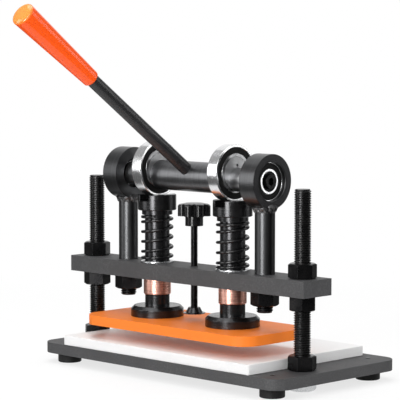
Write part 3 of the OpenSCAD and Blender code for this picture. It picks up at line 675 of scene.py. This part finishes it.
# Bearings: deep-groove ball bearings of ground and polished steel, with black rubber seals.
# One sits in each eye, and a larger one on each eccentric boss pushes a ram.
polished, shader, place = start_material("polished_bearing_steel", Metallic=1.0)
put_effect(
    polished, shader, turned, turned_about(polished, place, SHAFT_AXIS, quarter_turn=True),
    depth=0.00002, Lines=900, Patch=70, Base=(0.74, 0.745, 0.755, 1), Fleck=(0.86, 0.865, 0.87, 1),
    Smooth=0.16, Rough=0.28,
)
race_steel, shader, place = start_material("bearing_race", Metallic=1.0)
put_effect(
    race_steel, shader, turned, turned_about(race_steel, place, SHAFT_AXIS, quarter_turn=True),
    depth=0.00002, Lines=900, Patch=70, Base=(0.24, 0.242, 0.246, 1), Fleck=(0.34, 0.342, 0.348, 1),
    Smooth=0.16, Rough=0.28,
)
seal_black, shader, place = start_material("seal_rubber", Specular_IOR_Level=0.12)
put_effect(
    seal_black, shader, turned, turned_about(seal_black, place, SHAFT_AXIS, quarter_turn=True),
    depth=0.0001, Lines=1400, Patch=80, Base=(0.004, 0.004, 0.004, 1), Fleck=(0.012, 0.012, 0.012, 1),
    Smooth=0.4, Rough=0.6,
)
# The bore edge of an end bearing's inner ring is painted near black, as painted shade round the end of the
# shaft.
shaded_end_race = polished.copy()
shaded_end_race.name = "shaded_end_race"
tree = shaded_end_race.node_tree
shader = tree.nodes["Principled BSDF"]
from_axis = vector_in(tree, "SUBTRACT", node_in(tree, "TexCoord").outputs["Object"], SHAFT_AXIS)["Vector"]
across = vector_in(tree, "MULTIPLY", from_axis, (0, 1, 1))["Vector"]
radius = vector_in(tree, "LENGTH", across)["Value"]
# Painted shade: inside this radius the ring is coloured near black.
PAINTED_SHADE_R = 0.0112
unshaded = math_in(tree, "GREATER_THAN", radius, PAINTED_SHADE_R)
polish = shader.inputs["Base Color"].links[0].from_socket
tree.links.new(mix_in(tree, unshaded, (0.012, 0.012, 0.0125, 1), polish), shader.inputs["Base Color"])
for side in ("left", "right"):
    for kind, race, edge in (("end", shaded_end_race, 0.0007), ("cam", race_steel, 0.0005)):
        bearing = f"{side}_{kind}_"
        edge_broken(bearing + "outer_ring", polished, width=0.0007)
        edge_broken(bearing + "inner_ring", race, width=edge)
        dress(bearing + "balls", polished)
        edge_broken(bearing + "seals", seal_black, width=0.0003)

# Eccentric shaft: turned from one bar, with a satin grey drum in the middle, two bosses set off
# centre and a journal at each end. The bosses are left bright from the tool; the end faces are painted near
# black as painted shade.
shaft_steel, shader, place = start_material("turned_shaft", Metallic=1.0)
effect = put_effect(
    shaft_steel, shader, turned, turned_about(shaft_steel, place, SHAFT_AXIS, quarter_turn=True),
    depth=0.00006, Lines=1300, Patch=40, Base=(0.12, 0.121, 0.125, 1), Fleck=(0.18, 0.182, 0.187, 1),
    Smooth=0.28, Rough=0.42,
)
tree = shaft_steel.node_tree
sideways = math_in(tree, "ABSOLUTE", node_in(tree, "SeparateXYZ", Vector=place).outputs["X"])
low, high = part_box("right_cam_inner_ring")
BOSS_SKIN = 0.0002
on_boss = math_in(
    tree, "MULTIPLY",
    math_in(tree, "GREATER_THAN", sideways, low.x - BOSS_SKIN),
    math_in(tree, "LESS_THAN", sideways, high.x + BOSS_SKIN),
)
bright = mix_in(tree, on_boss, effect.outputs["Colour"], (0.42, 0.423, 0.43, 1))
# Painted shade: the end faces of the shaft are coloured near black.
END_SKIN = 0.0006
painted_shade_end = math_in(tree, "GREATER_THAN", sideways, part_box("eccentric_shaft")[1].x - END_SKIN)
tree.links.new(mix_in(tree, painted_shade_end, bright, (0.02, 0.02, 0.021, 1)), shader.inputs["Base Color"])
edge_broken("eccentric_shaft", shaft_steel, width=0.0004)

# Spacers: sleeves that keep the inner rings of the bearings apart on the journals.
# Socket screws in the ends of the shaft hold the whole stack.
spacer_steel, shader, place = start_material("turned_spacer", Metallic=1.0)
put_effect(
    spacer_steel, shader, turned, turned_about(spacer_steel, place, SHAFT_AXIS, quarter_turn=True),
    depth=0.00006, Lines=1600, Patch=50, Base=(0.36, 0.363, 0.37, 1), Fleck=(0.5, 0.503, 0.51, 1),
    Smooth=0.24, Rough=0.36,
)
edge_broken("shaft_spacers", spacer_steel, width=0.0003)
edge_broken("shaft_end_screws", black_oxide, width=0.0003)

# Lever: a steel bar in semi-gloss black, pressed into the drum, with a moulded orange grip.
# The grip is smooth and glossy, and swells towards its domed end, which is painted paler and yellower as
# painted light shining through it.
bar_black, shader, place = start_material("semi_gloss_black", Specular_IOR_Level=0.4)
put_effect(
    bar_black, shader, grain, place, depth=0.00003, Grain=800, Patch=50,
    Base=(0.018, 0.018, 0.019, 1), Fleck=(0.03, 0.03, 0.032, 1), Smooth=0.24, Rough=0.34,
)
edge_broken("lever_bar", bar_black, width=0.0004)
grip_orange, shader, place = start_material("moulded_orange", Specular_IOR_Level=0.42)
effect = put_effect(
    grip_orange, shader, grain, place, depth=0.000002, Grain=60, Patch=30,
    Base=(0.89, 0.088, 0.005, 1), Fleck=(0.9, 0.092, 0.006, 1), Smooth=0.1, Rough=0.14,
)
LEVER_RISE = math.radians(35.8)
GRIP_LENGTH = 0.116
GRIP_END = 0.303
tree = grip_orange.node_tree
from_shaft = vector_in(tree, "SUBTRACT", place, SHAFT_AXIS)["Vector"]
lever_way = (0, -math.cos(LEVER_RISE), math.sin(LEVER_RISE))
reach = vector_in(tree, "DOT_PRODUCT", from_shaft, lever_way)["Value"]
# Painted light: the domed end is coloured paler and yellower, as if light shone through it.
PAINTED_GLOW_FROM = GRIP_END - 0.0045
PAINTED_GLOW_TO = GRIP_END - 0.001
painted_glow = node_in(tree, "MapRange", Value=reach, From_Min=PAINTED_GLOW_FROM, From_Max=PAINTED_GLOW_TO)
painted_glow_end = mix_in(tree, painted_glow.outputs["Result"], effect.outputs["Colour"], (0.97, 0.34, 0.06, 1))
tree.links.new(painted_glow_end, shader.inputs["Base Color"])
GRIP_STEPS = 120
INNER_R = 0.0093
OUTER_R = 0.013
BORE_R = 0.0073
BORE_DEPTH = 0.108
MOUTH_R = 0.0016
MOUTH_STEPS = 5
outline = [(0.0, BORE_DEPTH), (BORE_R, BORE_DEPTH), (BORE_R, 0.0), (INNER_R - MOUTH_R, 0.0)]
for i in range(1, MOUTH_STEPS + 1):
    angle = math.pi / 2 * i / MOUTH_STEPS
    outline.append((INNER_R - MOUTH_R + MOUTH_R * math.sin(angle), MOUTH_R - MOUTH_R * math.cos(angle)))
GRIP_ROWS = 40
DOME_RISE = 0.0035
DOME_STEPS = 8
DOME_POWER = 0.55
BARREL_END = GRIP_LENGTH - DOME_RISE
for i in range(1, GRIP_ROWS + 1):
    share = i / GRIP_ROWS
    outline.append((INNER_R + (OUTER_R - INNER_R) * share, MOUTH_R + (BARREL_END - MOUTH_R) * share))
for i in range(1, DOME_STEPS):
    angle = math.pi / 2 * i / DOME_STEPS
    outline.append((OUTER_R * math.cos(angle) ** DOME_POWER, BARREL_END + DOME_RISE * math.sin(angle)))
outline.append((0.0, GRIP_LENGTH))
grip = profile_line("lever_grip_moulded", outline)
turn(grip, GRIP_STEPS)
grip.data.transform(Matrix.Translation((0, 0, GRIP_END - GRIP_LENGTH)))
grip.data.transform(Matrix.Rotation(math.pi / 2 - LEVER_RISE, 4, "X"))
grip.data.transform(Matrix.Translation(SHAFT_AXIS))
outward(grip)
smooth(grip, degrees=50)
stands_for(grip, "lever_grip", grip_orange)

# Rams: ground bars with a polished black skin and a chamfered foot flange, bolted to the plate.
# Each slides in its bush and carries a slotted cap that its cam bearing drops into.
ram_black, shader, place = start_material("polished_black", Metallic=0.9)
put_effect(
    ram_black, shader, turned, turned_about(ram_black, place, RAM_AXIS, both_sides=True),
    depth=0.00003, Lines=1500, Patch=50, Base=(0.034, 0.034, 0.0355, 1), Fleck=(0.058, 0.058, 0.06, 1),
    Smooth=0.18, Rough=0.3,
)
for side in ("left", "right"):
    edge_broken(side + "_ram", ram_black, width=0.0003)
    edge_broken(side + "_ram_cap", ram_black, width=0.0003)
dress("cap_screws", black_oxide)

# Return springs: hard-drawn wire, wound with closed ends and enamelled in glossy black.
# Each stands on a bright washer on the beam and lifts its ram by the cap.
enamel, shader, place = start_material("black_enamel", Specular_IOR_Level=0.4)
put_effect(
    enamel, shader, grain, place, depth=0.00003, Grain=700, Patch=90,
    Base=(0.005, 0.005, 0.0055, 1), Fleck=(0.012, 0.012, 0.0125, 1), Smooth=0.14, Rough=0.24,
)
edge_broken("spring_washers", zinc, width=0.0003)


def tube_along(name, points, radius):
    """A tube of round section along points."""
    curve = bpy.data.curves.new(name, "CURVE")
    curve.dimensions = "3D"
    curve.bevel_depth = radius
    curve.bevel_resolution = 5
    curve.use_fill_caps = True
    route = curve.splines.new("POLY")
    route.points.add(len(points) - 1)
    for spot, point in zip(route.points, points):
        spot.co = (*point, 1)
    tube = bpy.data.objects.new(name, curve)
    scene.collection.objects.link(tube)
    work_on(tube)
    bpy.ops.object.convert(target="MESH")
    tube = bpy.context.object
    outward(tube)
    smooth(tube, degrees=60)
    return tube


WIRE_R = 0.00175
COIL_R = 0.01675
CLOSED_TURNS = 1.0
CLOSED_RISE = 0.0042
OPEN_TURNS = 3.6
SEAT_GAP = 0.0002
SPRING_START = {"left": math.radians(90), "right": math.radians(210)}
POINTS_A_TURN = 40
coil_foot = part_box("spring_washers")[1].z + SEAT_GAP + WIRE_R
coil_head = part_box("left_ram_cap")[0].z - SEAT_GAP - WIRE_R
open_rise = (coil_head - coil_foot - 2 * CLOSED_RISE * CLOSED_TURNS) / OPEN_TURNS
for side in ("left", "right"):
    low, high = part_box(side + "_ram")
    middle = (low.x + high.x) / 2
    wire = []
    all_turns = OPEN_TURNS + 2 * CLOSED_TURNS
    for i in range(round(all_turns * POINTS_A_TURN) + 1):
        t = i / POINTS_A_TURN
        rise = (
            CLOSED_RISE * min(t, CLOSED_TURNS)
            + open_rise * max(0, min(OPEN_TURNS, t - CLOSED_TURNS))
            + CLOSED_RISE * max(0, t - CLOSED_TURNS - OPEN_TURNS)
        )
        angle = SPRING_START[side] + 2 * math.pi * t
        wire.append((middle + COIL_R * math.cos(angle), COIL_R * math.sin(angle), coil_foot + rise))
    coil = tube_along(side + "_spring_coil", wire, WIRE_R)
    stands_for(coil, side + "_spring", enamel)
    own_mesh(coil)

# Pressing plate: a steel plate with round corners and a satin orange powder coat.
# Countersunk screws from below hold it to the flanges of the rams.
plate_orange, shader, place = start_material("orange_powder_coat", Specular_IOR_Level=0.15)
put_effect(
    plate_orange, shader, grain, place, depth=0.0001, Grain=1300, Patch=25,
    Base=(0.95, 0.228, 0.024, 1), Fleck=(0.96, 0.256, 0.032, 1), Smooth=0.4, Rough=0.55,
)
edge_broken("pressing_plate", plate_orange, width=0.0008)
dress("plate_screws", zinc)

# Stop: a moulded star knob turns a threaded screw in the middle of the beam.
# The swivel pad under it meets the plate, so the screw sets how far the plate comes up.
knob_black, shader, place = start_material("moulded_black", Specular_IOR_Level=0.25)
put_effect(
    knob_black, shader, grain, place, depth=0.00005, Grain=500, Patch=60,
    Base=(0.006, 0.006, 0.0065, 1), Fleck=(0.012, 0.012, 0.0125, 1), Smooth=0.12, Rough=0.24,
)
edge_broken("star_knob", knob_black, width=0.001)
FINE_PITCH = 0.00125
low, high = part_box("stop_screw")
stop = threaded_rod("stop_screw_thread", 0, low.z, high.z, high.x - low.x, FINE_PITCH, chamfer=0.0006)
stands_for(stop, "stop_screw", black_oxide)
edge_broken("stop_pad", ram_black, width=0.0004)
